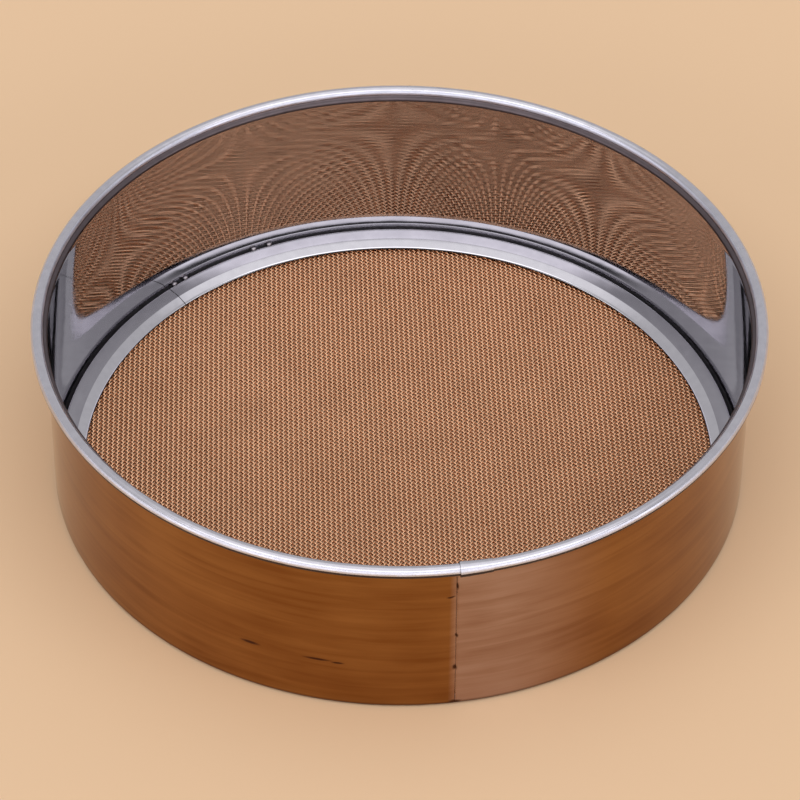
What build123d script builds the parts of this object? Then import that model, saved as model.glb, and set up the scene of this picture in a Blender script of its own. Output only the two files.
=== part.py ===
from build123d import *
import math
import os

# A drum sieve stands on its foot with the cloth at the bottom and the wired rim at the top.
# The origin is the centre of the face it rests on, +Z is up and the front is towards -Y.

# Hoop: one strip of sheet, its foot turned in, its top edge curled round a wire
hoop_diameter = 192.0
hoop_height = 54.2
sheet = 0.5
foot_width = 6.5
foot_bend = 1.0
neck_step = 1.2
neck_lean_deg = 75.0
bead_diameter = 3.3
curl_turn_deg = 300.0

# Lapped joint of the strip, a little to the right of the front
seam_deg = 9.3
lap_length = 8.5
joggle_length = 2.1
bead_lap_length = 8.4
bead_lap_start_share = 0.9
bead_lap_end_share = 0.3

# Wire inside the curl
wire_clearance = 0.05

# Woven cloth, drawn as a net with the wire and gap shares of the real one
cloth_thickness = 0.84
cloth_clearance = 0.25
net_pitch = 9.6
net_wire_share = 0.3
least_gap_share = 0.3

# Retaining ring: a strip bent to a shallow channel, pressed on the cloth
ring_clearance = 0.7
ring_sheet = 0.5
ring_width = 7.4
ring_height = 2.45
ring_bend = 0.55
land_fall_deg = 6.0
land_share = 0.62
lip_fall_deg = 22.0
lip_bend = 1.1
lip_turn_deg = 42.0

# Butt joint and tack welds of the ring, counted from +X
slit_deg = 135.5
slit_width = 0.25
tack_degs = (114.1, 117.1, 131.4, 133.9)
tack_radius = 0.6
tack_clearance = 0.05

# How far a cutting shape runs past what it cuts
overrun = 2.0

# Sizes that follow from those above
wall_radius = hoop_diameter / 2
wall_middle = wall_radius - sheet / 2
wall_inside = wall_radius - sheet
curl_radius = (bead_diameter - sheet) / 2
bead_radius = bead_diameter / 2
bead_height = hoop_height - bead_radius
bead_circle = wall_middle + neck_step + curl_radius
neck_radius = neck_step / 2 / (1 - math.cos(math.radians(neck_lean_deg)))
neck_height = 2 * neck_radius * math.sin(math.radians(neck_lean_deg))
foot_inside = wall_radius - foot_width
wall_foot = sheet / 2 + foot_bend
wall_top = bead_height - neck_height
wire_radius = curl_radius - sheet / 2 - wire_clearance
cloth_top = sheet + cloth_thickness
cloth_radius = wall_middle - foot_bend - cloth_clearance
ring_outside = wall_inside - ring_clearance
ring_inside = ring_outside - ring_width


def bent_line(start, heading_deg, moves, shift):
    """Edges of one face of a bent sheet, shifted to the left of its middle line."""
    heading = math.radians(heading_deg)
    point = Vector(*start) + Vector(-math.sin(heading), math.cos(heading)) * shift
    direction = Vector(math.cos(heading), math.sin(heading))
    edges = []
    for length, turn_deg in moves:
        if turn_deg == 0:
            edge = Edge.make_line(point, point + direction * length)
        else:
            radius = length - shift * math.copysign(1, turn_deg)
            edge = JernArc(point, direction, radius, turn_deg).edge()
        edges.append(edge)
        point, direction = edge @ 1, edge % 1
    return edges


def bent_section(start, heading_deg, moves, thickness):
    """Closed section of a bent sheet. Each move is a length with no turn, or a radius and a turn."""
    left = bent_line(start, heading_deg, moves, thickness / 2)
    right = bent_line(start, heading_deg, moves, -thickness / 2)
    ends = [
        Edge.make_line(left[0] @ 0, right[0] @ 0),
        Edge.make_line(left[-1] @ 1, right[-1] @ 1),
    ]
    return Face(Wire.combine(left + right + ends)[0])


def turned(section):
    """Ring that a section in radius and height sweeps round +Z."""
    return revolve(Plane.XZ * section, Axis.Z)


def polar(radius, angle_deg):
    """Point at a radius and an angle from +X."""
    angle = math.radians(angle_deg)
    return (radius * math.cos(angle), radius * math.sin(angle))


def plan_arc(radius, from_deg, to_deg):
    """Arc about the origin between two angles."""
    middle = (from_deg + to_deg) / 2
    return Edge.make_three_point_arc(polar(radius, from_deg), polar(radius, middle), polar(radius, to_deg))


def wall_block(edges):
    """Upright block over the straight part of the wall, from its outline in plan."""
    block = extrude(Face(Wire.combine(edges)[0]), wall_top - wall_foot, dir=(0, 0, 1))
    return Pos(0, 0, wall_foot) * block


def joggle_recess():
    """Shallow wedge where one end of the strip dips under the edge of the other."""
    edge = seam_deg - 90
    start = edge - math.degrees(joggle_length / wall_radius)
    outside = wall_radius + overrun
    return wall_block([
        Edge.make_line(polar(wall_radius, start), polar(wall_radius - sheet, edge)),
        Edge.make_line(polar(wall_radius - sheet, edge), polar(outside, edge)),
        plan_arc(outside, edge, start),
        Edge.make_line(polar(outside, start), polar(wall_radius, start)),
    ])


def lapped_end():
    """End of the strip that runs on behind the other, inside the wall."""
    edge = seam_deg - 90
    start = edge - math.degrees(joggle_length / wall_radius)
    end = edge + math.degrees(lap_length / wall_radius)
    inside = wall_inside - sheet
    return wall_block([
        Edge.make_line(polar(wall_middle, start), polar(wall_inside, start)),
        Edge.make_line(polar(wall_inside, start), polar(inside, edge)),
        plan_arc(inside, edge, end),
        Edge.make_line(polar(inside, end), polar(wall_middle, end)),
        plan_arc(wall_middle, end, start),
    ])


def bead_lap():
    """Collar where the curl of one end wraps over that of the other, fading to the right."""
    start = seam_deg - 90
    end = start + math.degrees(bead_lap_length / bead_circle)
    rounds = []
    for angle, share in ((start, bead_lap_start_share), (end, bead_lap_end_share)):
        plane = Plane(
            origin=(*polar(bead_circle, angle), bead_height),
            x_dir=(*polar(1, angle), 0),
            z_dir=(*polar(1, angle + 90), 0),
        )
        rounds.append(plane * Circle(bead_radius + sheet * share))
    core = Pos(0, 0, bead_height) * Torus(bead_circle, curl_radius)
    return loft(rounds, ruled=True) - core


def make_hoop():
    """Hoop with its turned-in foot, neck, curled rim and lapped joint."""
    moves = [
        (foot_width - sheet / 2 - foot_bend, 0),
        (foot_bend, 90),
        (wall_top - wall_foot, 0),
        (neck_radius, -neck_lean_deg),
        (neck_radius, neck_lean_deg),
        (curl_radius, -curl_turn_deg),
    ]
    hoop = turned(bent_section((foot_inside, sheet / 2), 0, moves, sheet))
    return hoop + lapped_end() - joggle_recess() + bead_lap()


def make_rim_wire():
    """Wire that the rim is curled round."""
    return Pos(0, 0, bead_height) * Torus(bead_circle, wire_radius)


def net_gaps():
    """Gaps of the net inside the ring, those at its edge cut to the round."""
    opening = Circle(ring_inside).face()
    gap = net_pitch * (1 - net_wire_share)
    half_count = math.ceil(ring_inside / net_pitch)
    gaps = []
    for row in range(-half_count, half_count):
        for column in range(-half_count, half_count):
            across = (column + 0.5) * net_pitch
            along = (row + 0.5) * net_pitch
            if math.hypot(max(abs(across) - gap / 2, 0), max(abs(along) - gap / 2, 0)) >= ring_inside:
                continue
            cell = Pos(across, along) * Rectangle(gap, gap).face()
            for piece in (cell & opening).faces():
                if piece.area > least_gap_share * gap * gap:
                    gaps.append(piece.outer_wire())
    return gaps


def make_mesh_cloth():
    """Cloth as one holed face with its thickness, resting on the turned-in foot."""
    net = Face(Circle(cloth_radius).face().outer_wire(), net_gaps())
    return Pos(0, 0, sheet) * extrude(net, cloth_thickness)


def ring_moves():
    """Bends of the ring: skirt, shoulder, land, creased fall and a lip that stops above the cloth."""
    land_fall = math.radians(land_fall_deg)
    lip_fall = math.radians(lip_fall_deg)
    lip_end = math.radians(lip_fall_deg + lip_turn_deg)
    skirt = ring_height - ring_sheet / 2 - ring_bend
    crease = ring_sheet
    bends = ring_bend * (1 + math.sin(land_fall)) + crease * (math.sin(lip_fall) - math.sin(land_fall))
    bends += lip_bend * (math.sin(lip_end) - math.sin(lip_fall))
    flat = ring_width - ring_sheet / 2 * (1 + math.sin(lip_end)) - bends
    land = flat * land_share / math.cos(land_fall)
    fall = flat * (1 - land_share) / math.cos(lip_fall)
    return [
        (skirt, 0),
        (ring_bend, 90 + land_fall_deg),
        (land, 0),
        (crease, lip_fall_deg - land_fall_deg),
        (fall, 0),
        (lip_bend, lip_turn_deg),
    ]


def make_retaining_ring():
    """Ring that presses the cloth down, with its butt joint and the tack welds to the wall."""
    start = (ring_outside - ring_sheet / 2, cloth_top)
    ring = turned(bent_section(start, 90, ring_moves(), ring_sheet))
    slit = Pos(ring_outside - ring_width / 2, 0, cloth_top + ring_height / 2) * Box(
        ring_width + 2 * overrun, slit_width, ring_height + 2 * overrun
    )
    ring -= Rot(0, 0, slit_deg) * slit
    tack_centre = wall_inside - tack_radius - tack_clearance
    tack_height = cloth_top + ring_height - tack_radius
    for angle in tack_degs:
        ring += Pos(*polar(tack_centre, angle), tack_height) * Sphere(tack_radius)
    return ring


def main():
    """Writes one STEP file for each piece."""
    os.makedirs("parts", exist_ok=True)
    pieces = {
        "hoop": make_hoop(),
        "rim_wire": make_rim_wire(),
        "mesh_cloth": make_mesh_cloth(),
        "retaining_ring": make_retaining_ring(),
    }
    for name, piece in pieces.items():
        print(name, "solids", len(piece.solids()), "volume", round(piece.volume, 1))
        export_step(piece, f"parts/{name}.step")


main()
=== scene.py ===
import logging
import math
from dataclasses import dataclass
from enum import Enum

import bmesh
import bpy
from mathutils import Euler, Matrix, Vector


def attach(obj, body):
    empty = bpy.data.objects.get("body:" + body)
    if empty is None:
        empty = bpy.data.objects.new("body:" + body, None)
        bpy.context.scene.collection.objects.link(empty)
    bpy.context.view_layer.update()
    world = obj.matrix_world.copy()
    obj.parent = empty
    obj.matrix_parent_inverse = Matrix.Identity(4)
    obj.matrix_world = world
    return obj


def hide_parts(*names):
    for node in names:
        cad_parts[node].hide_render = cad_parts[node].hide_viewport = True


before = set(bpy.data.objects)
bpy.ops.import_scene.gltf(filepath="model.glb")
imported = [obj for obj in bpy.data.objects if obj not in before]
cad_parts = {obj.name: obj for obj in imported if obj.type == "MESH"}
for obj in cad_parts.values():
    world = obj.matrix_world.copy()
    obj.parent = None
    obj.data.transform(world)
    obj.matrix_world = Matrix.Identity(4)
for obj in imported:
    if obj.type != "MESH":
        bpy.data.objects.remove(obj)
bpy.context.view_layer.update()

LOG = logging.getLogger("drum_sieve")
MM = 0.001
STEPS_ROUND = 360
DEGREES_PER_BEND_STEP = 11
FEWEST_BEND_STEPS = 3
MERGE_DISTANCE = 0.002 * MM

Material = bpy.types.Material
Piece = bpy.types.Object
Socket = bpy.types.NodeSocket
Tree = bpy.types.NodeTree
BMesh = bmesh.types.BMesh
Vert = bmesh.types.BMVert
Edge = bmesh.types.BMEdge
Face = bmesh.types.BMFace
Moves = list[tuple[float, float]]


class Zone(Enum):
    """Zone of the hoop that has a finish of its own; the outside carries painted reflection, the neck and
    crease painted shade.
    """

    INSIDE = 0
    OUTSIDE = 1
    RIM = 2
    NECK = 3
    CREASE = 4
    FLANK = 5


def linear(hex_colour: str) -> tuple[float, float, float, float]:
    """Turns an sRGB hex colour to linear values.

    Args:
        hex_colour: Colour such as "#C8B496".

    Returns:
        Red, green, blue and an alpha of 1, linear.
    """
    parts = [int(hex_colour[i:i + 2], 16) / 255 for i in (1, 3, 5)]
    return (*[p / 12.92 if p <= 0.04045 else ((p + 0.055) / 1.055) ** 2.4 for p in parts], 1.0)


def add_node(
    tree: Tree, kind: str, settings: dict | None = None, inputs: dict | None = None,
) -> bpy.types.Node:
    """Adds a node with its settings, socket values and links.

    Args:
        tree: Node tree that the node goes into.
        kind: Blender's type name of the node.
        settings: Attribute name to value.
        inputs: Socket name or number to a value, or to the output socket that feeds it.

    Returns:
        The new node.
    """
    node = tree.nodes.new(kind)
    for name, value in (settings or {}).items():
        setattr(node, name, value)
    for name, value in (inputs or {}).items():
        if isinstance(value, Socket):
            tree.links.new(value, node.inputs[name])
        else:
            node.inputs[name].default_value = value
    return node


def empty_material(name: str) -> tuple[Material, Tree]:
    """Starts a material with no nodes.

    Args:
        name: Name of the material.

    Returns:
        The material and its node tree.
    """
    material = bpy.data.materials.new(name)
    material.use_nodes = True
    material.node_tree.nodes.clear()
    return material, material.node_tree


def close_material(tree: Tree, shader: Socket) -> None:
    """Feeds the finished shader to the material's output.

    Args:
        tree: Node tree of the material.
        shader: Output socket of the finished shader.
    """
    add_node(tree, "ShaderNodeOutputMaterial", inputs={"Surface": shader})


def height_of(tree: Tree) -> Socket:
    """Height over the foot, in metres."""
    place = add_node(tree, "ShaderNodeTexCoord").outputs["Object"]
    return add_node(tree, "ShaderNodeSeparateXYZ", inputs={"Vector": place}).outputs["Z"]


def wrapped_coordinates(tree: Tree, seam_deg: float, around_per_turn: float, up_per_m: float) -> Socket:
    """Pattern coordinates that run round +Z, start at the hoop's seam and climb with the height.

    Args:
        tree: Node tree of the material.
        seam_deg: Angle of the seam, right of the front.
        around_per_turn: Pattern units in one whole turn.
        up_per_m: Pattern units in one metre of height.

    Returns:
        Output socket of the coordinates.
    """
    place = add_node(tree, "ShaderNodeTexCoord").outputs["Object"]
    turned = add_node(tree, "ShaderNodeMapping", inputs={
        "Vector": place, "Rotation": (0, 0, math.radians(270 - seam_deg)),
    }).outputs["Vector"]
    turn = add_node(tree, "ShaderNodeTexGradient", {"gradient_type": "RADIAL"}, {
        "Vector": turned,
    }).outputs["Fac"]
    around, up = [
        add_node(tree, "ShaderNodeMath", {"operation": "MULTIPLY"}, {0: value, 1: scale}).outputs[0]
        for value, scale in ((turn, around_per_turn), (height_of(tree), up_per_m))
    ]
    return add_node(tree, "ShaderNodeCombineXYZ", inputs={"X": around, "Y": up}).outputs["Vector"]


def buffed_gloss(tree: Tree, roughness: float, most: float) -> tuple[Socket, Socket]:
    """Makes the gloss of a buffed sheet, with wiping marks and slow waves.

    Args:
        tree: Node tree of the material.
        roughness: Roughness that the marks vary.
        most: Share of it that the dullest marks have.

    Returns:
        Output sockets of the roughness and of the waved normal.
    """
    place = add_node(tree, "ShaderNodeTexCoord").outputs["Object"]
    # Wiping marks of 6 mm and less, only in the gloss
    wipes = add_node(tree, "ShaderNodeTexNoise", inputs={
        "Vector": place, "Scale": 160.0, "Detail": 5.0,
    }).outputs["Fac"]
    rough = add_node(tree, "ShaderNodeMapRange", inputs={
        "Value": wipes, "From Min": 0.3, "From Max": 0.75,
        "To Min": roughness * 0.6, "To Max": roughness * most,
    }).outputs["Result"]
    # Waves of the sheet, about 30 mm long and up to a tenth of a millimetre deep
    waves = add_node(tree, "ShaderNodeTexNoise", inputs={
        "Vector": place, "Scale": 32.0, "Detail": 1.0,
    }).outputs["Fac"]
    bump = add_node(tree, "ShaderNodeBump", inputs={
        "Strength": 1.0, "Distance": 0.12 * MM, "Height": waves,
    }).outputs["Normal"]
    return rough, bump


@dataclass(frozen=True)
class PolishedSheet:
    """Mirror-polished cold-rolled stainless steel sheet.

    The eye sees sharp but slightly wavy reflections, soft upright bands left by rolling the strip
    to a hoop, and wiping marks that only show in the gloss.
    """

    name: str
    bright: str
    dull: str
    roughness: float
    band_share: float
    foot_roughness: float
    seam_deg: float
    # Heights in mm between which the buff's gloss sets in
    buff_foot: float = 3.3
    buff_full: float = 5.2

    def build(self) -> Material:
        """Makes the material.

        Returns:
            The finished material.
        """
        material, tree = empty_material(self.name)
        # Bands about 12 mm wide round the hoop, drawn out to the height of the wall
        bands = add_node(tree, "ShaderNodeTexNoise", inputs={
            "Vector": wrapped_coordinates(tree, self.seam_deg, 50, 12),
            "Scale": 1.0, "Detail": 4.0, "Roughness": 0.55,
        }).outputs["Fac"]
        spread = add_node(tree, "ShaderNodeMapRange", inputs={
            "Value": bands, "From Min": 0.35, "From Max": 0.7, "To Min": 0.0, "To Max": self.band_share,
        }).outputs["Result"]
        colour = add_node(tree, "ShaderNodeMix", {"data_type": "RGBA"}, {
            0: spread, 6: linear(self.bright), 7: linear(self.dull),
        }).outputs[2]
        gloss, bump = buffed_gloss(tree, self.roughness, 1.5)
        # The buff doesn't reach the foot of the wall, so the gloss fades there
        foot = add_node(tree, "ShaderNodeMapRange", inputs={
            "Value": height_of(tree), "From Min": self.buff_foot * MM, "From Max": self.buff_full * MM,
            "To Min": self.foot_roughness, "To Max": 0.0,
        }).outputs["Result"]
        rough = add_node(tree, "ShaderNodeMath", {"operation": "MAXIMUM"}, {0: gloss, 1: foot}).outputs[0]
        shader = add_node(tree, "ShaderNodeBsdfPrincipled", inputs={
            "Base Color": colour, "Metallic": 1.0, "Roughness": rough, "Normal": bump,
        })
        close_material(tree, shader.outputs["BSDF"])
        return material


@dataclass(frozen=True)
class PaintedReflectionSheet:
    """Mirror-polished stainless steel sheet for the outside of the hoop, its warm brown painted reflection.

    The eye sees a deep brown mirror with fine streaks along the strip, both painted reflection of brown
    surroundings, a paler lilac patch at the joint and beside it, painted reflection too, a few dark
    spots near the joint and painted shade at the foot.
    """

    name: str
    bright: str
    dull: str
    joint_reflection: str
    spot_and_foot_shade: str
    roughness: float
    seam_deg: float
    wall_radius: float
    # Painted reflection, mm right of the joint, then painted shade at the foot, mm up from the foot
    reflection_start: float = -2.0
    reflection_full: float = 0.6
    reflection_fade: float = 10.0
    reflection_end: float = 46.0
    reflection_share: float = 0.8
    foot_shade_top: float = 1.7
    foot_shade_full: float = 0.9
    foot_shade_share: float = 0.75
    mark_strength: float = 1.6

    @property
    def girth(self) -> float:
        """Way round the outside of the hoop, mm."""
        return 2 * math.pi * self.wall_radius

    def from_joint(self, tree: Tree) -> Socket:
        """Coordinates in mm along and up the strip, with the joint at half the girth."""
        return wrapped_coordinates(tree, self.seam_deg + 180, self.girth, 1 / MM)

    def spots(self, tree: Tree) -> Socket:
        """Gathers the dark marks by the joint, each an ellipse.

        Args:
            tree: Node tree of the material.

        Returns:
            Output socket, 1 in the middle of a mark and 0 outside.
        """
        place = self.from_joint(tree)
        # Each in mm: along the strip from the joint, up from the foot, half the length and half the height
        marks = (
            (-1.6, 40.2, 1.5, 0.45), (0.0, 26.0, 0.55, 0.9), (-0.3, 14.0, 0.8, 1.2),
            (-0.2, 1.2, 2.6, 0.9), (-55.0, 16.0, 3.4, 0.7), (-36.5, 15.8, 4.6, 0.55),
            (-31.0, 15.4, 2.2, 0.45), (0.0, 44.0, 0.4, 1.6),
        )
        total = None
        for along, up, half_length, half_height in marks:
            near = add_node(tree, "ShaderNodeMapping", {"vector_type": "POINT"}, {
                "Vector": place,
                "Location": (-(self.girth / 2 + along) / half_length, -up / half_height, 0),
                "Scale": (1 / half_length, 1 / half_height, 1),
            }).outputs["Vector"]
            ball = add_node(tree, "ShaderNodeTexGradient", {"gradient_type": "SPHERICAL"}, {
                "Vector": near,
            }).outputs["Fac"]
            if total is None:
                total = ball
                continue
            total = add_node(tree, "ShaderNodeMath", {"operation": "MAXIMUM"}, {0: total, 1: ball}).outputs[0]
        return total

    def build(self) -> Material:
        """Makes the material.

        Returns:
            The finished material.
        """
        material, tree = empty_material(self.name)
        # Painted reflection: streaks along the strip, some 40 mm long and 2 mm high, bent a little by slow
        # waves
        streaks = add_node(tree, "ShaderNodeTexNoise", inputs={
            "Vector": wrapped_coordinates(tree, self.seam_deg, 14, 420),
            "Scale": 1.0, "Detail": 5.0, "Roughness": 0.6, "Distortion": 0.6,
        }).outputs["Fac"]
        # Painted reflection too: clouds some 30 mm long and 20 mm high
        clouds = add_node(tree, "ShaderNodeTexNoise", inputs={
            "Vector": wrapped_coordinates(tree, self.seam_deg, 18, 45), "Scale": 1.0, "Detail": 2.0,
        }).outputs["Fac"]
        both = add_node(tree, "ShaderNodeMath", {"operation": "ADD"}, {0: streaks, 1: clouds}).outputs[0]
        share = add_node(tree, "ShaderNodeMapRange", inputs={
            "Value": both, "From Min": 0.78, "From Max": 1.24, "To Min": 0.0, "To Max": 1.0,
        }).outputs["Result"]
        colour = add_node(tree, "ShaderNodeMix", {"data_type": "RGBA"}, {
            0: share, 6: linear(self.bright), 7: linear(self.dull),
        }).outputs[2]
        # Painted reflection, paler and lilac, from the joint to the right, strongest beside it and gone after
        # some 45 mm
        joint = self.girth / 2
        along = add_node(tree, "ShaderNodeSeparateXYZ", inputs={
            "Vector": self.from_joint(tree),
        }).outputs["X"]
        rise = add_node(tree, "ShaderNodeMapRange", inputs={
            "Value": along, "From Min": joint + self.reflection_start, "From Max": joint + self.reflection_full,
            "To Min": 0.0, "To Max": self.reflection_share,
        }).outputs["Result"]
        fade = add_node(tree, "ShaderNodeMapRange", {"interpolation_type": "SMOOTHSTEP"}, {
            "Value": along, "From Min": joint + self.reflection_fade, "From Max": joint + self.reflection_end,
            "To Min": 1.0, "To Max": 0.0,
        }).outputs["Result"]
        joint_reflection = add_node(tree, "ShaderNodeMath", {"operation": "MULTIPLY"}, {0: rise, 1: fade}).outputs[0]
        patchy = add_node(tree, "ShaderNodeMapRange", inputs={
            "Value": both, "From Min": 0.8, "From Max": 1.2, "To Min": 1.0, "To Max": 0.55,
        }).outputs["Result"]
        joint_reflection = add_node(tree, "ShaderNodeMath", {"operation": "MULTIPLY"}, {0: joint_reflection, 1: patchy}).outputs[0]
        colour = add_node(tree, "ShaderNodeMix", {"data_type": "RGBA"}, {
            0: joint_reflection, 6: colour, 7: linear(self.joint_reflection),
        }).outputs[2]
        marks = add_node(tree, "ShaderNodeMath", {"operation": "MULTIPLY", "use_clamp": True}, {
            0: self.spots(tree), 1: self.mark_strength,
        }).outputs[0]
        # Painted shade in the lowest two millimetres, where the wall meets the floor
        shade_at_foot = add_node(tree, "ShaderNodeMapRange", inputs={
            "Value": height_of(tree), "From Min": self.foot_shade_full * MM, "From Max": self.foot_shade_top * MM,
            "To Min": self.foot_shade_share, "To Max": 0.0,
        }).outputs["Result"]
        marks = add_node(tree, "ShaderNodeMath", {"operation": "MAXIMUM"}, {0: marks, 1: shade_at_foot}).outputs[0]
        # Dark spots near the joint and the painted shade at the foot share one dark colour
        colour = add_node(tree, "ShaderNodeMix", {"data_type": "RGBA"}, {
            0: marks, 6: colour, 7: linear(self.spot_and_foot_shade),
        }).outputs[2]
        rough, bump = buffed_gloss(tree, self.roughness, 1.6)
        shader = add_node(tree, "ShaderNodeBsdfPrincipled", inputs={
            "Base Color": colour, "Metallic": 1.0, "Roughness": rough, "Normal": bump,
        })
        close_material(tree, shader.outputs["BSDF"])
        return material


@dataclass(frozen=True)
class RolledStrip:
    """Rolled stainless steel strip, as bright or scuffed as its roughness says.

    The eye sees a soft mirror with fine mottling and thin marks along the strip.
    """

    name: str
    bright: str
    dull: str
    roughness: float

    def build(self) -> Material:
        """Makes the material.

        Returns:
            The finished material.
        """
        material, tree = empty_material(self.name)
        place = add_node(tree, "ShaderNodeTexCoord").outputs["Object"]
        mottle = add_node(tree, "ShaderNodeTexNoise", inputs={
            "Vector": place, "Scale": 420.0, "Detail": 4.0,
        }).outputs["Fac"]
        colour = add_node(tree, "ShaderNodeMix", {"data_type": "RGBA"}, {
            0: mottle, 6: linear(self.bright), 7: linear(self.dull),
        }).outputs[2]
        # Marks along the strip, under 2 mm wide and some 20 mm long
        marks = add_node(tree, "ShaderNodeTexNoise", inputs={
            "Vector": wrapped_coordinates(tree, 0, 30, 600), "Scale": 1.0, "Detail": 3.0,
        }).outputs["Fac"]
        rough = add_node(tree, "ShaderNodeMapRange", inputs={
            "Value": marks, "From Min": 0.3, "From Max": 0.7,
            "To Min": self.roughness * 0.6, "To Max": self.roughness * 1.5,
        }).outputs["Result"]
        # Ripples of the rolls, about 9 mm long
        ripples = add_node(tree, "ShaderNodeTexNoise", inputs={
            "Vector": place, "Scale": 110.0, "Detail": 2.0,
        }).outputs["Fac"]
        bump = add_node(tree, "ShaderNodeBump", inputs={
            "Strength": 1.0, "Distance": 0.06 * MM, "Height": ripples,
        }).outputs["Normal"]
        shader = add_node(tree, "ShaderNodeBsdfPrincipled", inputs={
            "Base Color": colour, "Metallic": 1.0, "Roughness": rough, "Normal": bump,
        })
        close_material(tree, shader.outputs["BSDF"])
        return material


@dataclass(frozen=True)
class DrawnWire:
    """Bright wire drawn through a die, then bent to a ring.

    The eye sees a satin metal with slow changes of tone along the wire.
    """

    name: str
    bright: str
    dull: str
    roughness: float

    def build(self) -> Material:
        """Makes the material.

        Returns:
            The finished material.
        """
        material, tree = empty_material(self.name)
        place = add_node(tree, "ShaderNodeTexCoord").outputs["Object"]
        # Tone drifts over some 15 mm, as batches of wire and handling leave it
        drift = add_node(tree, "ShaderNodeTexNoise", inputs={
            "Vector": place, "Scale": 60.0, "Detail": 3.0,
        }).outputs["Fac"]
        colour = add_node(tree, "ShaderNodeMix", {"data_type": "RGBA"}, {
            0: drift, 6: linear(self.bright), 7: linear(self.dull),
        }).outputs[2]
        rough = add_node(tree, "ShaderNodeMapRange", inputs={
            "Value": drift, "From Min": 0.3, "From Max": 0.7,
            "To Min": self.roughness * 0.8, "To Max": self.roughness * 1.2,
        }).outputs["Result"]
        shader = add_node(tree, "ShaderNodeBsdfPrincipled", inputs={
            "Base Color": colour, "Metallic": 1.0, "Roughness": rough,
        })
        close_material(tree, shader.outputs["BSDF"])
        return material


@dataclass(frozen=True)
class WovenWire:
    """Bright wire woven to a cloth, lighter on its knuckles and painted dark lower down as shade.

    The eye sees bright knuckles on the top of the cloth and darker wire down in the crossings. The dark
    is painted shade where the wires hide each other, and the warm brown is painted reflection.
    """

    name: str
    knuckle: str
    deep: str
    roughness: float
    deep_height: float
    knuckle_height: float

    def build(self) -> Material:
        """Makes the material.

        Returns:
            The finished material.
        """
        material, tree = empty_material(self.name)
        place = add_node(tree, "ShaderNodeTexCoord").outputs["Object"]
        # Painted shade: the wire darkens below the cloth's middle, where the crossings lie in shade
        unshaded_share = add_node(tree, "ShaderNodeMapRange", {"interpolation_type": "SMOOTHSTEP"}, {
            "Value": height_of(tree), "From Min": self.deep_height * MM, "From Max": self.knuckle_height * MM,
        }).outputs["Result"]
        # Tone drifts over some 15 mm, as handling leaves it
        drift = add_node(tree, "ShaderNodeTexNoise", inputs={
            "Vector": place, "Scale": 60.0, "Detail": 3.0,
        }).outputs["Fac"]
        share = add_node(tree, "ShaderNodeMapRange", inputs={
            "Value": drift, "From Min": 0.3, "From Max": 0.7, "To Min": 0.85, "To Max": 1.0,
        }).outputs["Result"]
        unshaded_share = add_node(tree, "ShaderNodeMath", {"operation": "MULTIPLY"}, {0: unshaded_share, 1: share}).outputs[0]
        colour = add_node(tree, "ShaderNodeMix", {"data_type": "RGBA"}, {
            0: unshaded_share, 6: linear(self.deep), 7: linear(self.knuckle),
        }).outputs[2]
        shader = add_node(tree, "ShaderNodeBsdfPrincipled", inputs={
            "Base Color": colour, "Metallic": 1.0, "Roughness": self.roughness,
        })
        close_material(tree, shader.outputs["BSDF"])
        return material


@dataclass(frozen=True)
class FloorPaint:
    """Matt painted board, plain and pale."""

    name: str
    colour: str

    def build(self) -> Material:
        """Makes the material.

        Returns:
            The finished material.
        """
        material, tree = empty_material(self.name)
        shader = add_node(tree, "ShaderNodeBsdfPrincipled", inputs={
            "Base Color": linear(self.colour), "Roughness": 0.9, "Specular IOR Level": 0.1,
        })
        close_material(tree, shader.outputs["BSDF"])
        return material


def polar(radius: float, angle_deg: float) -> Vector:
    """Point in plan at a radius and an angle right of the front.

    Args:
        radius: Distance from the axis.
        angle_deg: Angle from the front, positive to the right.

    Returns:
        The point, at height 0.
    """
    angle = math.radians(angle_deg - 90)
    return Vector((radius * math.cos(angle), radius * math.sin(angle), 0))


def strip_line(
    bm: BMesh, start: tuple[float, float], heading_deg: float, moves: Moves, shift: float,
) -> list[Vert]:
    """Draws one face of a bent strip in the XZ plane, shifted to the left of its middle line.

    Args:
        bm: Mesh that the line is drawn in.
        start: Radius and height of the start of the middle line, mm.
        heading_deg: Direction at the start, from +X towards +Z.
        moves: Each a length with no turn, or a bend's radius and turn, mm and degrees.
        shift: Distance to the left of the middle line, mm.

    Returns:
        First and last vertex of the line.
    """
    heading = math.radians(heading_deg)
    side = Vector((-math.sin(heading), 0, math.cos(heading)))
    first = bmesh.ops.create_vert(bm, co=(Vector((start[0], 0, start[1])) + side * shift) * MM)["vert"][0]
    tip = first
    for length, turn_deg in moves:
        along = Vector((math.cos(heading), 0, math.sin(heading)))
        if turn_deg == 0:
            grown = bmesh.ops.extrude_vert_indiv(bm, verts=[tip])
            tip = grown["verts"][0]
            bmesh.ops.translate(bm, verts=[tip], vec=along * length * MM)
            continue
        sign = math.copysign(1, turn_deg)
        radius = length - shift * sign
        centre = tip.co + Vector((-along.z, 0, along.x)) * sign * radius * MM
        steps = max(FEWEST_BEND_STEPS, round(abs(turn_deg) / DEGREES_PER_BEND_STEP))
        spun = bmesh.ops.spin(
            bm, geom=[tip], cent=centre, axis=(0, -sign, 0), angle=math.radians(abs(turn_deg)), steps=steps,
        )
        tip = [g for g in spun["geom_last"] if isinstance(g, Vert)][0]
        heading += math.radians(turn_deg)
    return [first, tip]


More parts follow.
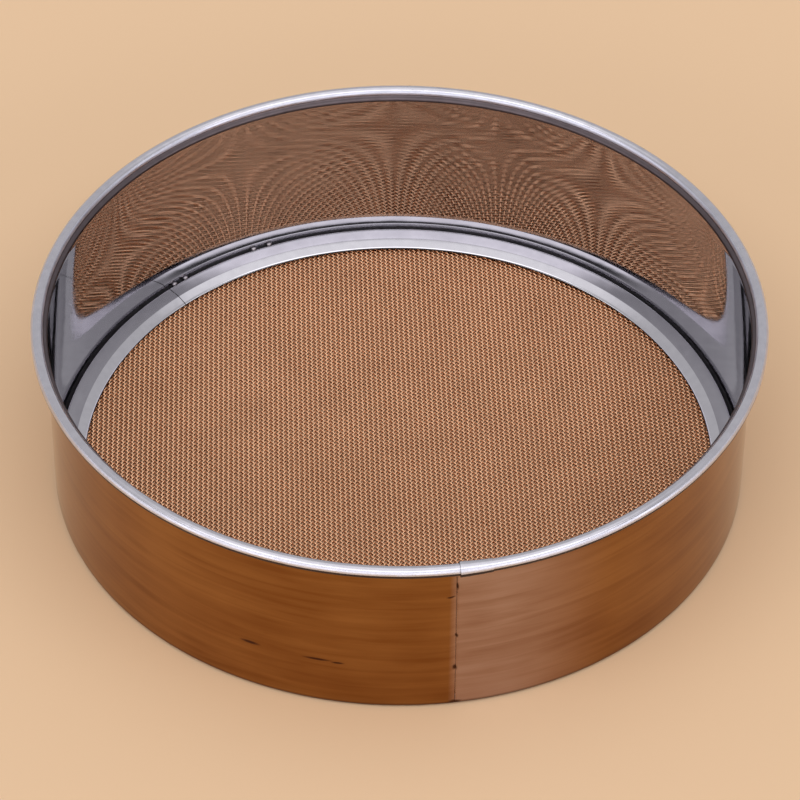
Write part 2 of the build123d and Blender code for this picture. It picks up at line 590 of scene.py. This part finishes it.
def strip_section(
    bm: BMesh, start: tuple[float, float], heading_deg: float, moves: Moves, thickness: float,
) -> list[Edge]:
    """Draws the closed section of a bent strip.

    Args:
        bm: Mesh that the section is drawn in.
        start: Radius and height of the start of the middle line, mm.
        heading_deg: Direction at the start, from +X towards +Z.
        moves: Bends and lengths, as strip_line takes them.
        thickness: Thickness of the sheet, mm.

    Returns:
        Every edge of the section.
    """
    left = strip_line(bm, start, heading_deg, moves, thickness / 2)
    right = strip_line(bm, start, heading_deg, moves, -thickness / 2)
    bm.edges.new((left[0], right[0]))
    bm.edges.new((left[1], right[1]))
    return list(bm.edges)


def turn_about_axis(bm: BMesh, verts: list[Vert], turn_deg: float) -> None:
    """Turns vertices about +Z."""
    turn = Matrix.Rotation(math.radians(turn_deg), 3, "Z")
    bmesh.ops.rotate(bm, verts=verts, cent=(0, 0, 0), matrix=turn)


def grow(bm: BMesh, edges: list[Edge]) -> tuple[list[Vert], list[Edge]]:
    """Extrudes edges and leaves the new end on the old one.

    Args:
        bm: Mesh that holds the edges.
        edges: Edges of the old end.

    Returns:
        Vertices and edges of the new end.
    """
    grown = bmesh.ops.extrude_edge_only(bm, edges=edges)["geom"]
    verts = [g for g in grown if isinstance(g, Vert)]
    ends = set(verts)
    return verts, [g for g in grown if isinstance(g, Edge) and g.verts[0] in ends and g.verts[1] in ends]


def extrude_round(bm: BMesh, edges: list[Edge], step_deg: float) -> list[Edge]:
    """Extrudes a section and turns the new end about +Z.

    Args:
        bm: Mesh that holds the section.
        edges: Edges of the section.
        step_deg: Angle to turn by. Zero leaves the new end on the old one.

    Returns:
        Edges of the new end.
    """
    verts, ends = grow(bm, edges)
    turn_about_axis(bm, verts, step_deg)
    return ends


def verts_of(edges: list[Edge]) -> list[Vert]:
    """Vertices of some edges, each once, in their order."""
    return list(dict.fromkeys(v for e in edges for v in e.verts))


def finish_piece(
    bm: BMesh, name: str, materials: list[Material], sharp_deg: float = 40,
) -> Piece:
    """Turns a mesh into a finished piece that rides on the sieve's body.

    Args:
        bm: Finished mesh, in metres and in place.
        name: Name of the piece.
        materials: Its materials, in the order of the faces' numbers.
        sharp_deg: Edges that turn by more than this stay sharp.

    Returns:
        The new object.
    """
    mesh = bpy.data.meshes.new(name)
    bm.to_mesh(mesh)
    bm.free()
    mesh.polygons.foreach_set("use_smooth", [True] * len(mesh.polygons))
    mesh.set_sharp_from_angle(angle=math.radians(sharp_deg))
    for material in materials:
        mesh.materials.append(material)
    piece = bpy.data.objects.new(name, mesh)
    bpy.context.scene.collection.objects.link(piece)
    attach(piece, "root")
    mesh.calc_loop_triangles()
    LOG.info("%s: %d triangles", name, len(mesh.loop_triangles))
    return piece


@dataclass
class Hoop:
    """Hoop of one polished strip: turned-in foot, wall, neck, curled rim and lapped joint. Sizes in mm."""

    diameter: float = 192.0
    height: float = 54.2
    sheet: float = 0.5
    foot_width: float = 6.5
    foot_bend: float = 1.0
    neck_step: float = 1.2
    neck_lean_deg: float = 75.0
    bead_diameter: float = 3.3
    curl_turn_deg: float = 300.0
    seam_deg: float = 9.3
    lap_length: float = 8.5
    joggle_length: float = 2.1
    bead_lap_length: float = 8.4
    bead_lap_start: float = 0.45
    bead_lap_end: float = 0.15
    crease: float = 0.5
    # Each face of the wall has a point this far from its ends, and the press at the joint moves them
    wall_lead: float = 1.2
    press_margin: float = 1.0
    joggle_shares: tuple[float, ...] = (0.1, 0.35, 0.65, 0.9, 1.0)
    # The collar lifts the bead's skin, so deep and down to so far below the bead's middle
    bead_skin: float = 0.1
    collar_reach: float = 1.5
    collar_steps: int = 4
    # Bounds of a face's place and normal, outwards and upwards, by which it gets its zone
    outside_depth: float = 0.75
    outward_least: float = 0.2
    under_most: float = -0.1
    crease_most: float = 0.05
    flank_most: float = 0.66

    @property
    def wall_radius(self) -> float:
        """Outer radius of the straight wall."""
        return self.diameter / 2

    @property
    def bead_height(self) -> float:
        """Height of the middle of the rim bead."""
        return self.height - self.bead_diameter / 2

    @property
    def bead_circle(self) -> float:
        """Radius of the circle that the bead's middle runs on."""
        return self.wall_radius - self.sheet / 2 + self.neck_step + (self.bead_diameter - self.sheet) / 2

    @property
    def neck_height(self) -> float:
        """Height of the neck's two bends together."""
        lean = math.radians(self.neck_lean_deg)
        return self.neck_step * math.sin(lean) / (1 - math.cos(lean))

    @property
    def wall_foot(self) -> float:
        """Height where the straight wall starts."""
        return self.sheet / 2 + self.foot_bend

    @property
    def wall_top(self) -> float:
        """Height where the straight wall ends."""
        return self.bead_height - self.neck_height

    @property
    def lap_deg(self) -> float:
        """Angle that the lap takes up."""
        return math.degrees(self.lap_length / self.wall_radius)

    @property
    def joggle_deg(self) -> float:
        """Angle that the joggle takes up."""
        return math.degrees(self.joggle_length / self.wall_radius)

    def section(self, bm: BMesh) -> list[Edge]:
        """Draws the strip's section.

        Args:
            bm: Mesh that it is drawn in.

        Returns:
            Its edges.
        """
        lean = math.radians(self.neck_lean_deg)
        neck_radius = self.neck_step / 2 / (1 - math.cos(lean))
        wall = self.wall_top - self.wall_foot
        moves = [
            (self.foot_width - self.sheet / 2 - self.foot_bend, 0),
            (self.foot_bend, 90),
            (self.wall_lead, 0), (wall - 2 * self.wall_lead, 0), (self.wall_lead, 0),
            (neck_radius, -self.neck_lean_deg),
            (neck_radius, self.neck_lean_deg),
            ((self.bead_diameter - self.sheet) / 2, -self.curl_turn_deg),
        ]
        return strip_section(bm, (self.wall_radius - self.foot_width, self.sheet / 2), 0, moves, self.sheet)

    def press(
        self, verts: list[Vert], outer: float, inner: float, collar: float,
    ) -> list[tuple[Vert, Vector]]:
        """Works out how one section gives way at the joint.

        Args:
            verts: Vertices of the section.
            outer: How far the wall's outer face goes in, mm.
            inner: How far the wall's inner face goes in, mm.
            collar: How much the bead grows, mm.

        Returns:
            Each vertex that moves with its move.
        """
        moves = []
        low = self.wall_foot + self.press_margin
        high = self.wall_top - self.press_margin
        for vert in verts:
            radius = vert.co.xy.length / MM
            height = vert.co.z / MM
            out = Vector((vert.co.x, vert.co.y, 0)).normalized()
            if low < height < high:
                shift = outer if radius > self.wall_radius - self.sheet / 2 else inner
                moves.append((vert, -out * shift * MM))
            from_bead = Vector((radius - self.bead_circle, height - self.bead_height))
            on_skin = from_bead.length > self.bead_diameter / 2 - self.bead_skin
            if collar and on_skin and height > self.bead_height - self.collar_reach:
                away = out * from_bead.x + Vector((0, 0, from_bead.y))
                moves.append((vert, away.normalized() * collar * MM))
        return moves

    def stations(self) -> list[tuple[float, float, float, float]]:
        """Works out the sections at the joint, past the plain part of the wall.

        Returns:
            For each the turn from the one before in degrees, then how far the wall's outer and inner
            face go in and how much the bead grows, mm.
        """
        collar_deg = math.degrees(self.bead_lap_length / self.bead_circle)
        found = []
        done = 0.0
        for share in self.joggle_shares:
            drop = self.sheet * share * share * (3 - 2 * share)
            found.append((self.joggle_deg * (share - done), drop, drop, 0.0))
            done = share
        found.append((0.0, 0.0, self.sheet, self.bead_lap_start))
        fading = self.bead_lap_end - self.bead_lap_start
        for step in range(1, self.collar_steps + 1):
            collar = self.bead_lap_start + fading * step / self.collar_steps
            found.append((collar_deg / self.collar_steps, 0.0, self.sheet, collar))
        found.append((0.0, 0.0, self.sheet, 0.0))
        found.append((self.lap_deg - collar_deg, 0.0, self.sheet, 0.0))
        return found

    def sweep(self, bm: BMesh) -> None:
        """Sweeps the section round, with the lapped joint.

        Args:
            bm: Mesh that holds nothing yet.
        """
        edges = self.section(bm)
        turn_about_axis(bm, list(bm.verts), self.seam_deg + self.lap_deg - 90)
        plain = 360 - self.lap_deg - self.joggle_deg
        for _ in range(STEPS_ROUND):
            edges = extrude_round(bm, edges, plain / STEPS_ROUND)
        gives = []
        for turn_deg, outer, inner, collar in self.stations():
            edges = extrude_round(bm, edges, turn_deg)
            gives += self.press(verts_of(edges), outer, inner, collar)
        extrude_round(bm, edges, 0)
        for vert, move in gives:
            vert.co += move
        bmesh.ops.remove_doubles(bm, verts=bm.verts, dist=MERGE_DISTANCE)
        bmesh.ops.recalc_face_normals(bm, faces=bm.faces)

    def zone(self, face: Face) -> Zone:
        """Tells which zone a face of the hoop belongs to.

        Args:
            face: Face of the swept mesh.

        Returns:
            Its zone.
        """
        centre = face.calc_center_median() / MM
        radius = centre.xy.length
        out = Vector((centre.x, centre.y, 0)).normalized()
        outward = face.normal.dot(out)
        if centre.z < self.wall_top:
            facing_out = radius > self.wall_radius - self.outside_depth and outward > self.outward_least
            return Zone.OUTSIDE if facing_out else Zone.INSIDE
        if radius < self.bead_circle - self.bead_diameter / 2 + self.sheet and centre.z < self.bead_height:
            # The bead's outward and lower faces take the outside's painted reflection, a dark line under the
            # bead
            if outward > 0 or face.normal.z < self.under_most:
                return Zone.OUTSIDE
            return Zone.CREASE if centre.z < self.wall_top + self.crease else Zone.NECK
        # Downward faces of the bead take the crease's painted shade
        if face.normal.z < self.crease_most:
            return Zone.CREASE
        return Zone.FLANK if face.normal.z < self.flank_most else Zone.RIM

    def build(self) -> Piece:
        """Builds the hoop.

        Returns:
            The finished piece.
        """
        bm = bmesh.new()
        self.sweep(bm)
        for face in bm.faces:
            face.material_index = self.zone(face).value
        finishes = {
            Zone.INSIDE: PolishedSheet(
                "mirror_polished_steel_inside", "#B7B5BA", "#A5A3A8", 0.05, 0.6, 0.4, self.seam_deg,
            ),
            # The outside's brown, streaks and lilac patch are painted reflection, and its lowest band is
            # painted shade
            Zone.OUTSIDE: PaintedReflectionSheet(
                "steel_outside_with_painted_reflection", "#9B6E3F", "#84562B", "#B8A19C", "#4A2E22", 0.05,
                self.seam_deg, self.wall_radius,
            ),
            Zone.RIM: RolledStrip("buffed_steel_rim", "#DCDBE1", "#C5C4CA", 0.2),
            # Neck and crease colours are painted shade, for the crevice under the bead
            Zone.NECK: RolledStrip("steel_neck_with_painted_shade", "#6C6264", "#585052", 0.42),
            Zone.CREASE: RolledStrip("steel_crease_with_painted_shade", "#4E4344", "#3A3132", 0.4),
            Zone.FLANK: RolledStrip("scuffed_steel_bead_flank", "#D4D5E0", "#C2C3CE", 0.42),
        }
        materials = [finishes[zone].build() for zone in Zone]
        piece = finish_piece(bm, "polished_hoop_strip", materials)
        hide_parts("hoop")
        return piece


@dataclass
class RetainingRing:
    """Creased ring that presses the cloth down, with its butt joint and tack welds. Sizes in mm."""

    outside: float = 94.8
    sheet: float = 0.5
    width: float = 7.4
    height: float = 2.45
    bend: float = 0.55
    land_fall_deg: float = 6.0
    # The land is crowned by this over its width, half of it on either side of its fall
    land_crown_deg: float = 5.0
    land_share: float = 0.62
    lip_fall_deg: float = 22.0
    lip_bend: float = 1.1
    lip_turn_deg: float = 42.0
    seat: float = 1.34
    slit_deg: float = 225.5
    slit_width: float = 0.25
    tack_degs: tuple[float, ...] = (204.1, 207.1, 221.4, 223.9)
    tack_radius: float = 0.55
    tack_length: float = 0.85
    tack_depth: float = 0.5
    tack_clearance: float = 0.02
    lip_shade_width: float = 0.12
    wall_inside: float = 95.5

    def moves(self) -> Moves:
        """Works out the strip's bends.

        Returns:
            Lengths and bends from the foot of the skirt to the lip.
        """
        land_fall = math.radians(self.land_fall_deg)
        lip_fall = math.radians(self.lip_fall_deg)
        lip_end = math.radians(self.lip_fall_deg + self.lip_turn_deg)
        skirt = self.height - self.sheet / 2 - self.bend
        crease = self.sheet
        bends = self.bend * (1 + math.sin(land_fall)) + crease * (math.sin(lip_fall) - math.sin(land_fall))
        bends += self.lip_bend * (math.sin(lip_end) - math.sin(lip_fall))
        flat = self.width - self.sheet / 2 * (1 + math.sin(lip_end)) - bends
        land = flat * self.land_share / math.cos(land_fall)
        fall = flat * (1 - self.land_share) / math.cos(lip_fall)
        return [
            (skirt, 0), (self.bend, 90 + self.land_fall_deg - self.land_crown_deg / 2),
            (land / math.radians(self.land_crown_deg), self.land_crown_deg),
            (crease, self.lip_fall_deg - self.land_fall_deg - self.land_crown_deg / 2), (fall, 0),
            (self.lip_bend, self.lip_turn_deg),
        ]

    def at_lip(self, face: Face) -> bool:
        """Tells whether a face lies on the sheared edge of the lip, painted dark as shade over the cloth.

        Args:
            face: Face of the swept mesh.

        Returns:
            True for the sheared lip.
        """
        centre = face.calc_center_median() / MM
        return centre.xy.length < self.outside - self.width + self.lip_shade_width

    def build(self) -> list[Piece]:
        """Builds the ring and its tack welds.

        Returns:
            The finished pieces.
        """
        finish = RolledStrip("bright_rolled_steel_strip", "#D6D5D9", "#C3C2C7", 0.09).build()
        # Painted shade on the lip's edge, for the dark gap between lip and cloth
        lip_shade = RolledStrip("steel_lip_with_painted_shade", "#4A413C", "#352E2A", 0.4).build()
        weld = RolledStrip("steel_weld_bead", "#BDB8BB", "#A39EA1", 0.35).build()
        bm = bmesh.new()
        edges = strip_section(bm, (self.outside - self.sheet / 2, self.seat), 90, self.moves(), self.sheet)
        half_slit = math.degrees(self.slit_width / 2 / self.outside)
        turn_about_axis(bm, list(bm.verts), self.slit_deg - 90 + half_slit)
        first = edges
        for _ in range(STEPS_ROUND):
            edges = extrude_round(bm, edges, (360 - 2 * half_slit) / STEPS_ROUND)
        bmesh.ops.holes_fill(bm, edges=first, sides=0)
        bmesh.ops.holes_fill(bm, edges=edges, sides=0)
        bmesh.ops.recalc_face_normals(bm, faces=bm.faces)
        for face in bm.faces:
            face.material_index = int(self.at_lip(face))
        ring = finish_piece(bm, "pressed_ring_strip", [finish, lip_shade])
        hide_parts("retaining_ring")
        welds = bmesh.new()
        for angle in self.tack_degs:
            centre = polar(self.wall_inside - self.tack_depth - self.tack_clearance, angle) * MM
            centre.z = (self.seat + self.height) * MM
            place = Matrix.Translation(centre) @ Matrix.Rotation(math.radians(angle), 4, "Z")
            shape = Matrix.Diagonal((self.tack_length, self.tack_depth, self.tack_radius, 1))
            bmesh.ops.create_uvsphere(welds, u_segments=16, v_segments=12, radius=MM, matrix=place @ shape)
        tacks = finish_piece(welds, "ring_tack_welds", [weld])
        return [ring, tacks]


@dataclass
class WireCloth:
    """Plain-woven wire cloth, wire by wire. Sizes in mm.

    A crossing lies at each whole number of steps along the warps and the wefts, and a wire goes over
    at every other one.
    """

    wire: float = 0.46
    warp_crimp: float = 0.62
    radius: float = 94.2
    middle_height: float = 0.885
    warp_step: tuple[float, float] = (0.7255, -0.509)
    weft_step: tuple[float, float] = (0.667, 1.014)
    run_past: float = 8.0
    # Painted shade fades in from this far below the middle to this far above it
    deep_drop: float = 0.25
    knuckle_rise: float = 0.1
    rings_per_crossing: int = 3
    sides: int = 4
    most_triangles: int = 180000

    def wave(self, along: Vector, rise: float) -> bpy.types.Mesh:
        """Draws one wire through the middle of the cloth.

        Args:
            along: Step from one crossing to the next along the wire, mm.
            rise: Height of the wire's middle over the cloth's at the middle crossing, mm.

        Returns:
            The wire as a mesh, along +X, in metres.
        """
        bm = bmesh.new()
        pitch = along.length
        half = math.ceil((self.radius + self.run_past) / pitch / 2) * 2
        count = 2 * half * self.rings_per_crossing
        step = pitch / self.rings_per_crossing
        steepest = rise * math.pi / pitch
        upright = Matrix.Rotation(math.pi / 2, 4, "Y")
        start = bmesh.ops.create_circle(bm, segments=self.sides, radius=self.wire / 2 * MM, matrix=upright)
        bmesh.ops.translate(bm, verts=start["verts"], vec=(-half * pitch * MM, 0, rise * MM))
        edges = list(bm.edges)
        for ring in range(1, count + 1):
            phase = math.pi * ring / self.rings_per_crossing
            before = math.pi * (ring - 1) / self.rings_per_crossing
            climb = rise * (math.cos(phase) - math.cos(before))
            verts, edges = grow(bm, edges)
            bmesh.ops.translate(bm, verts=verts, vec=(step * MM, 0, climb * MM))
            lean = math.atan(steepest * math.sin(phase)) - math.atan(steepest * math.sin(before))
            centre = Vector((-half * pitch + ring * step, 0, rise * math.cos(phase))) * MM
            bmesh.ops.rotate(bm, verts=verts, cent=centre, matrix=Matrix.Rotation(lean, 3, "Y"))
        bmesh.ops.recalc_face_normals(bm, faces=bm.faces)
        mesh = bpy.data.meshes.new("one_wire")
        bm.to_mesh(mesh)
        bm.free()
        return mesh

    def lay(
        self, name: str, along: Vector, across: Vector, rise: float, finish: Material,
    ) -> list[Piece]:
        """Lays all wires of one family side by side and trims them to the round.

        Args:
            name: Start of the pieces' names.
            along: Step between crossings along a wire, mm.
            across: Step from one wire to the next, mm.
            rise: Height of the middle wire at the middle crossing, mm.
            finish: Material of the wires.

        Returns:
            The finished pieces.
        """
        one = self.wave(along, rise)
        turn = Matrix.Rotation(math.atan2(along.y, along.x), 4, "Z")
        spacing = abs(along.cross(across)) / along.length
        reach = math.floor(self.radius / spacing)
        triangles = 2 * self.sides * self.rings_per_crossing * 2 * self.radius / along.length
        per_piece = max(2, int(self.most_triangles / triangles))
        numbers = list(range(-reach, reach + 1))
        groups = [numbers[i:i + per_piece] for i in range(0, len(numbers), per_piece)]
        pieces = []
        for group in groups:
            bm = bmesh.new()
            for number in group:
                drift = round(number * across.dot(along) / along.length_squared / 2) * 2
                place = across * number + along * (number % 2 - drift)
                known = len(bm.verts)
                bm.from_mesh(one)
                bm.verts.ensure_lookup_table()
                new = bm.verts[known:]
                bmesh.ops.transform(bm, matrix=turn, verts=new)
                bmesh.ops.translate(bm, verts=new, vec=(place.x * MM, place.y * MM, self.middle_height * MM))
            outside = [v for v in bm.verts if v.co.xy.length > self.radius * MM]
            bmesh.ops.delete(bm, geom=outside, context="VERTS")
            bmesh.ops.holes_fill(bm, edges=[e for e in bm.edges if e.is_boundary], sides=0)
            number = len(pieces) + 1
            pieces.append(finish_piece(bm, f"{name}_{number}", [finish], sharp_deg=120))
        bpy.data.meshes.remove(one)
        return pieces

    def build(self) -> list[Piece]:
        """Builds both families of wires.

        Returns:
            The finished pieces.
        """
        # The deep colour is painted shade, and the warm tint of both colours is painted reflection
        finish = WovenWire(
            "woven_wire_with_painted_shade", "#F6C49B", "#96592F", 0.24,
            self.middle_height - self.deep_drop, self.middle_height + self.knuckle_rise,
        ).build()
        warp_step = Vector(self.warp_step)
        weft_step = Vector(self.weft_step)
        warps = self.lay("warp_wires", warp_step, weft_step, self.wire * self.warp_crimp, finish)
        wefts = self.lay("weft_wires", weft_step, warp_step, -self.wire * (1 - self.warp_crimp), finish)
        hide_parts("mesh_cloth")
        return warps + wefts


@dataclass
class RimWire:
    """Wire inside the curled rim. Its CAD node is shown."""

    node: str = "rim_wire"

    def build(self) -> Piece:
        """Dresses the node.

        Returns:
            The dressed node.
        """
        finish = DrawnWire("drawn_steel_wire", "#BDBBB8", "#A3A19E", 0.3).build()
        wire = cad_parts[self.node]
        wire.data.materials.clear()
        wire.data.materials.append(finish)
        LOG.info("%s: dressed", self.node)
        return wire


@dataclass
class Studio:
    """Camera, plain pale floor and soft light. Sizes in metres."""

    floor_radius: float = 6.0
    floor_colour: str = "#E3C29C"
    sky_tint: str = "#F8F6FA"
    # Strengths of the light
    front: float = 1.6
    slot_share: float = 0.12
    zenith: float = 1.15
    room: float = 0.62
    # Edges in the sky, on a ball of radius 1: the first along Y, the others up
    front_edge: float = -0.3
    front_top: tuple[float, float] = (0.85, 0.92)
    card_top: float = 0.47
    box_foot: float = 0.64
    slot_edge: float = 0.06
    zenith_edge: tuple[float, float] = (0.8, 0.92)
    camera_place: tuple[float, float, float] = (0.0003, -0.8149, 0.7708)
    camera_pitch_deg: float = 42.6
    camera_roll_deg: float = 0.53
    focal_mm: float = 180.0
    sensor_mm: float = 36.0

    def camera(self) -> None:
        """Puts the camera at the photograph's viewing angle."""
        data = bpy.data.cameras.new("camera")
        data.lens = self.focal_mm
        data.sensor_width = self.sensor_mm
        data.clip_start = 0.01
        camera = bpy.data.objects.new("camera", data)
        tilt = Euler((math.radians(90 - self.camera_pitch_deg), 0, 0)).to_matrix()
        roll = Euler((0, 0, math.radians(self.camera_roll_deg))).to_matrix()
        camera.rotation_euler = (tilt @ roll).to_euler()
        camera.location = self.camera_place
        bpy.context.scene.collection.objects.link(camera)
        bpy.context.scene.camera = camera

    def floor(self) -> None:
        """Lays the floor."""
        bm = bmesh.new()
        bmesh.ops.create_circle(bm, cap_ends=True, segments=96, radius=self.floor_radius)
        mesh = bpy.data.meshes.new("floor")
        bm.to_mesh(mesh)
        bm.free()
        mesh.materials.append(FloorPaint("matt_painted_board", self.floor_colour).build())
        floor = bpy.data.objects.new("floor", mesh)
        bpy.context.scene.collection.objects.link(floor)

    def sky(self) -> None:
        """Lights the room softly from the front, with a smaller box overhead and an even room."""
        world = bpy.data.worlds.new("studio")
        world.use_nodes = True
        tree = world.node_tree
        tree.nodes.clear()
        way = add_node(tree, "ShaderNodeSeparateXYZ", inputs={
            "Vector": add_node(tree, "ShaderNodeTexCoord").outputs["Generated"],
        })
        # The front softbox hangs across the front half of the room up to some 63 degrees. A dim slot
        # parts it from a low card, from some 30 to 42 degrees up
        ahead, over, above_card, below_box, above = [
            add_node(tree, "ShaderNodeMapRange", {"interpolation_type": "SMOOTHSTEP"}, {
                "Value": way.outputs[axis],
                "From Min": first, "From Max": last, "To Min": before, "To Max": past,
            }).outputs["Result"]
            for axis, first, last, before, past in (
                ("Y", 0.0, self.front_edge, 0.0, 1.0),
                ("Z", *self.front_top, self.front, 0.0),
                ("Z", self.card_top, self.card_top + self.slot_edge, 0.0, 1.0),
                ("Z", self.box_foot, self.box_foot + self.slot_edge, 1.0, 0.0),
                ("Z", *self.zenith_edge, self.room, self.zenith),
            )
        ]
        times = {"operation": "MULTIPLY"}
        slot = add_node(tree, "ShaderNodeMath", times, {0: above_card, 1: below_box}).outputs[0]
        lit = add_node(tree, "ShaderNodeMath", {"operation": "SUBTRACT"}, {0: 1.0, 1: slot}).outputs[0]
        box = add_node(tree, "ShaderNodeMath", times, {0: over, 1: lit}).outputs[0]
        front = add_node(tree, "ShaderNodeMath", times, {0: ahead, 1: box}).outputs[0]
        dim = add_node(tree, "ShaderNodeMath", times, {0: ahead, 1: slot}).outputs[0]
        kept = add_node(tree, "ShaderNodeMapRange", inputs={
            "Value": dim, "To Min": 1.0, "To Max": self.slot_share,
        }).outputs["Result"]
        strength = add_node(tree, "ShaderNodeMath", {"operation": "MULTIPLY_ADD"}, {
            0: above, 1: kept, 2: front,
        }).outputs[0]
        light = add_node(tree, "ShaderNodeBackground", inputs={
            "Color": linear(self.sky_tint), "Strength": strength,
        })
        add_node(tree, "ShaderNodeOutputWorld", inputs={"Surface": light.outputs["Background"]})
        bpy.context.scene.world = world

    def build(self) -> None:
        """Sets the whole studio up."""
        self.camera()
        self.floor()
        self.sky()
        bpy.context.scene.view_settings.view_transform = "Standard"
        LOG.info("studio: ready")


def write_sizes() -> None:
    """Logs a line; the CAD model's box and the visual model's box are not written here."""
    LOG.info("sizes: written")


def main() -> None:
    """Builds the studio and every piece of the sieve in order."""
    logging.basicConfig(level=logging.INFO, format="%(name)s: %(message)s")
    Studio().build()
    Hoop().build()
    RimWire().build()
    WireCloth().build()
    RetainingRing().build()
    write_sizes()


if __name__ == "__main__":
    main()
